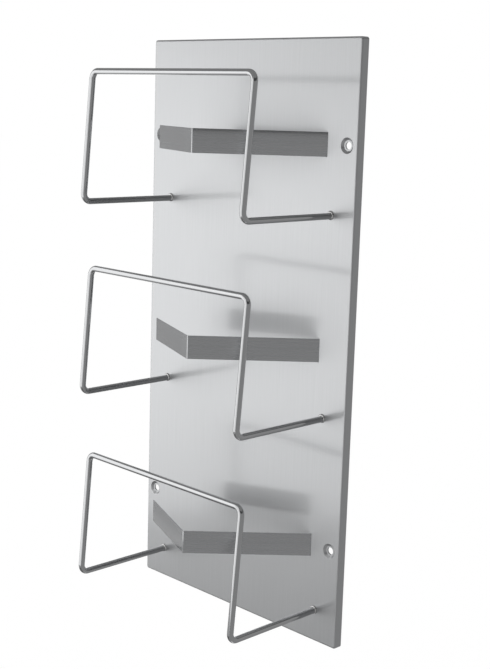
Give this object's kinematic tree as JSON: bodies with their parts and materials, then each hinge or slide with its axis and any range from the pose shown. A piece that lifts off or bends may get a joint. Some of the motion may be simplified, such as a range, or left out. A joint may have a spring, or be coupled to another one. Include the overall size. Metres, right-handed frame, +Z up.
{
  "type": "glove box holder",
  "caption": "Wall-mounted stainless steel holder for a column of glove boxes: a folded back tray with screw holes, bent wire loops and leaf springs that press each box forward.",
  "frame": {"origin": "middle of the back tray's outline, on the wall plane that its folded edges rest on", "axes": "+X to the right seen from the room, +Z up along the tray's length, -Y out of the wall, so +Y points into the wall"},
  "size_m": [0.22, 0.0973, 0.45],
  "materials": {
    "plate_steel": "fine vertical brushing, satin",
    "rod_steel": "polished round rod",
    "spring_steel": "rolled strip with fine lengthwise lines"
  },
  "bodies": {
    "plate": {"back_plate": "plate_steel", "wire_loop_top": "rod_steel", "wire_loop_middle": "rod_steel", "wire_loop_bottom": "rod_steel", "spring_foot_top": "spring_steel", "spring_foot_middle": "spring_steel", "spring_foot_bottom": "spring_steel"},
    "blade_top": {"spring_blade_top": "spring_steel"},
    "tip_top": {"spring_tip_top": "spring_steel"},
    "blade_middle": {"spring_blade_middle": "spring_steel"},
    "tip_middle": {"spring_tip_middle": "spring_steel"},
    "blade_bottom": {"spring_blade_bottom": "spring_steel"},
    "tip_bottom": {"spring_tip_bottom": "spring_steel"}
  },
  "joints": [
    {"name": "spring_top_press", "type": "hinge", "parent": "plate", "child": "blade_top", "pos_m": [0.08043, -0.0076, 0.15], "axis": [0, 0, -1], "range_deg": [0, 40], "stiffness_Nm_per_rad": 1.9},
    {"name": "spring_top_crest", "type": "hinge", "parent": "blade_top", "child": "tip_top", "pos_m": [0.01508, -0.07641, 0.15], "axis": [0, 0, 1], "range_deg": [0, 57]},
    {"name": "spring_middle_press", "type": "hinge", "parent": "plate", "child": "blade_middle", "pos_m": [0.08043, -0.0076, 0], "axis": [0, 0, -1], "range_deg": [0, 40], "stiffness_Nm_per_rad": 1.9},
    {"name": "spring_middle_crest", "type": "hinge", "parent": "blade_middle", "child": "tip_middle", "pos_m": [0.01508, -0.07641, 0], "axis": [0, 0, 1], "range_deg": [0, 57]},
    {"name": "spring_bottom_press", "type": "hinge", "parent": "plate", "child": "blade_bottom", "pos_m": [0.08043, -0.0076, -0.15], "axis": [0, 0, -1], "range_deg": [0, 40], "stiffness_Nm_per_rad": 1.9},
    {"name": "spring_bottom_crest", "type": "hinge", "parent": "blade_bottom", "child": "tip_bottom", "pos_m": [0.01508, -0.07641, -0.15], "axis": [0, 0, 1], "range_deg": [0, 57]}
  ],
  "couplings": [
    {"joint": "spring_top_crest", "follows": "spring_top_press", "ratio": 1.42},
    {"joint": "spring_middle_crest", "follows": "spring_middle_press", "ratio": 1.42},
    {"joint": "spring_bottom_crest", "follows": "spring_bottom_press", "ratio": 1.42}
  ]
}
